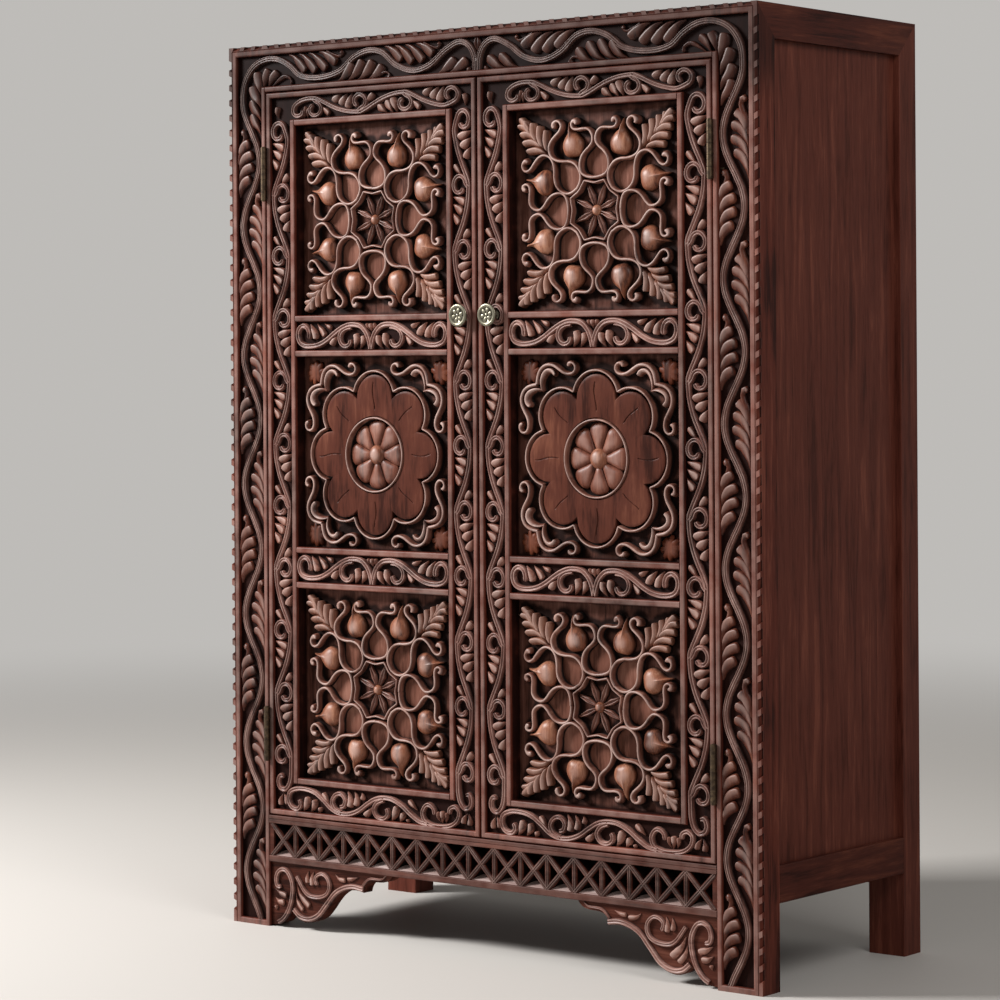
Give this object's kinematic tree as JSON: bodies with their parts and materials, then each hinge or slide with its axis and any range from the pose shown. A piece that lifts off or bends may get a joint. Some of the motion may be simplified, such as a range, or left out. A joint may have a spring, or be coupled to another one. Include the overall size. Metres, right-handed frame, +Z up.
{
  "type": "carved two-door cabinet",
  "caption": "Upright hardwood cabinet on post feet with two framed, flower-carved doors, a lattice rail and scrolled brackets.",
  "frame": {"origin": "on the floor, under the middle of the whole cabinet with its knobs", "axes": "+X to the right along the front, +Y from the front to the rear, +Z up"},
  "size_m": [1.02, 0.439, 1.4],
  "materials": {
    "carved_wood": "dark red-brown stain, worn paler on the raised edges of the carving",
    "side_wood": "satin red-brown stain with darker blotches",
    "plain_wood": "plain matt stain",
    "aged_brass": "aged, dull with worn highlights",
    "steel": "dull",
    "dark_plastic": "matt"
  },
  "bodies": {
    "carcass": {"front_post_left": "carved_wood", "front_post_right": "carved_wood", "front_top_rail": "carved_wood", "lattice_rail": "carved_wood", "bracket_left": "carved_wood", "bracket_right": "carved_wood", "rear_post_left": "side_wood", "rear_post_right": "side_wood", "side_top_rail_left": "side_wood", "side_top_rail_right": "side_wood", "side_bottom_rail_left": "side_wood", "side_bottom_rail_right": "side_wood", "side_panel_left": "side_wood", "side_panel_right": "side_wood", "back_top_rail": "plain_wood", "back_bottom_rail": "plain_wood", "back_muntin": "plain_wood", "back_panel_left": "plain_wood", "back_panel_right": "plain_wood", "top_board": "plain_wood", "bottom_board": "plain_wood", "lower_shelf": "plain_wood", "upper_shelf": "plain_wood", "shelf_cleats": "plain_wood", "door_stop": "plain_wood", "hinge_frame_leaves_left": "aged_brass", "hinge_frame_leaves_right": "aged_brass", "hinge_pins": "aged_brass", "hinge_frame_screws": "aged_brass", "catch_magnets": "dark_plastic"},
    "left_door": {"left_door_hinge_stile": "carved_wood", "left_door_meeting_stile": "carved_wood", "left_door_bottom_rail": "carved_wood", "left_door_lower_rail": "carved_wood", "left_door_upper_rail": "carved_wood", "left_door_top_rail": "carved_wood", "left_door_bottom_panel": "carved_wood", "left_door_middle_panel": "carved_wood", "left_door_top_panel": "carved_wood", "left_door_hinge_leaves": "aged_brass", "left_door_hinge_screws": "aged_brass", "left_door_knob": "aged_brass", "left_door_knob_bolt": "steel", "left_door_strike_plate": "steel"},
    "right_door": {"right_door_hinge_stile": "carved_wood", "right_door_meeting_stile": "carved_wood", "right_door_bottom_rail": "carved_wood", "right_door_lower_rail": "carved_wood", "right_door_upper_rail": "carved_wood", "right_door_top_rail": "carved_wood", "right_door_bottom_panel": "carved_wood", "right_door_middle_panel": "carved_wood", "right_door_top_panel": "carved_wood", "right_door_hinge_leaves": "aged_brass", "right_door_hinge_screws": "aged_brass", "right_door_knob": "aged_brass", "right_door_knob_bolt": "steel", "right_door_strike_plate": "steel"}
  },
  "joints": [
    {"name": "left_door_hinge", "type": "hinge", "parent": "carcass", "child": "left_door", "pos_m": [-0.43125, -0.2105, 0.751], "axis": [0, 0, -1], "range_deg": [0, 170]},
    {"name": "right_door_hinge", "type": "hinge", "parent": "carcass", "child": "right_door", "pos_m": [0.43125, -0.2105, 0.751], "axis": [0, 0, 1], "range_deg": [0, 170]}
  ]
}
